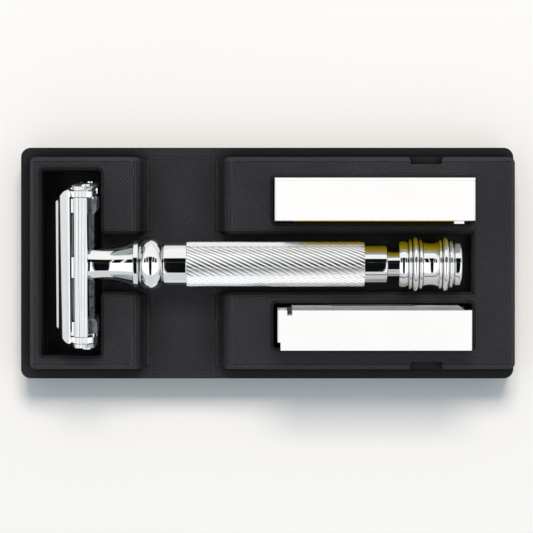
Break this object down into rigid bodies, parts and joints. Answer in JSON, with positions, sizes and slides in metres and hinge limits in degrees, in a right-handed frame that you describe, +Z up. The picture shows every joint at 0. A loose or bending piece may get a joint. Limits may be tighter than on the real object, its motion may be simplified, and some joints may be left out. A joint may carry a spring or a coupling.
{
  "type": "razor travel case",
  "caption": "Printed travel tray holding a twist-to-open safety razor and blade dispensers standing on edge in fitted pockets.",
  "frame": {"origin": "centre of the tray's footprint, on the surface that it stands on", "axes": "+X along the razor from head to knob, +Y to the far side, +Z up out of the tray"},
  "size_m": [0.143, 0.067, 0.0344],
  "materials": {
    "printed_plastic": "layered print, matt",
    "chrome": "polished chrome plate",
    "blade_steel": "ground stainless steel",
    "rod_steel": "drawn steel",
    "bush_brass": "turned brass",
    "white_plastic": "moulded, semi-gloss",
    "label_film": "gloss film"
  },
  "bodies": {
    "tray": {"case_tray": "printed_plastic"},
    "razor": {"head_base": "chrome", "razor_blade": "blade_steel", "far_end_plate": "chrome", "near_end_plate": "chrome", "hinge_pins": "chrome", "neck_tube": "chrome", "ball_collar": "chrome", "guide_bush": "bush_brass", "grip_tube": "chrome", "tail_sleeve": "chrome"},
    "lift_rod": {"draw_rod": "rod_steel", "lift_bar": "chrome", "lift_pins": "rod_steel", "rod_clip": "rod_steel", "thrust_collar": "rod_steel", "rod_nut": "bush_brass"},
    "turning_knob": {"knob": "chrome", "knob_shank": "chrome", "knob_end_cap": "chrome"},
    "upper_door": {"top_door": "chrome"},
    "lower_door": {"bottom_door": "chrome"},
    "far_dispenser": {"far_dispenser_shell": "white_plastic", "far_dispenser_cover": "white_plastic", "far_dispenser_blade_stack": "blade_steel", "far_dispenser_spring": "rod_steel", "far_dispenser_label": "label_film"},
    "near_dispenser": {"near_dispenser_shell": "white_plastic", "near_dispenser_cover": "white_plastic", "near_dispenser_blade_stack": "blade_steel", "near_dispenser_spring": "rod_steel"}
  },
  "joints": [
    {"name": "razor_lift", "type": "slide", "parent": "tray", "child": "razor", "axis": [0, 0, 1], "range_m": [0, 0.032]},
    {"name": "rod_slide", "type": "slide", "parent": "razor", "child": "lift_rod", "axis": [-1, 0, 0], "range_m": [0, 0.003]},
    {"name": "knob_turn", "type": "hinge", "parent": "lift_rod", "child": "turning_knob", "pos_m": [0.045, -0.0003, 0.02055], "axis": [1, 0, 0], "range_deg": [0, 450]},
    {"name": "upper_door_open", "type": "hinge", "parent": "razor", "child": "upper_door", "pos_m": [-0.0512, -0.00112, 0.02991], "axis": [0, 0.9962, 0.0872], "range_deg": [0, 67.4]},
    {"name": "lower_door_open", "type": "hinge", "parent": "razor", "child": "lower_door", "pos_m": [-0.0512, 0.00052, 0.01119], "axis": [0, -0.9962, -0.0872], "range_deg": [0, 67.4]},
    {"name": "far_dispenser_lift", "type": "slide", "parent": "tray", "child": "far_dispenser", "axis": [0, 0, 1], "range_m": [0, 0.032]},
    {"name": "near_dispenser_lift", "type": "slide", "parent": "tray", "child": "near_dispenser", "axis": [0, 0, 1], "range_m": [0, 0.032]}
  ],
  "couplings": [
    {"joint": "rod_slide", "follows": "knob_turn", "m_per_rad": 0.0003819},
    {"joint": "upper_door_open", "follows": "knob_turn", "ratio": 0.1497},
    {"joint": "lower_door_open", "follows": "knob_turn", "ratio": 0.1497}
  ]
}
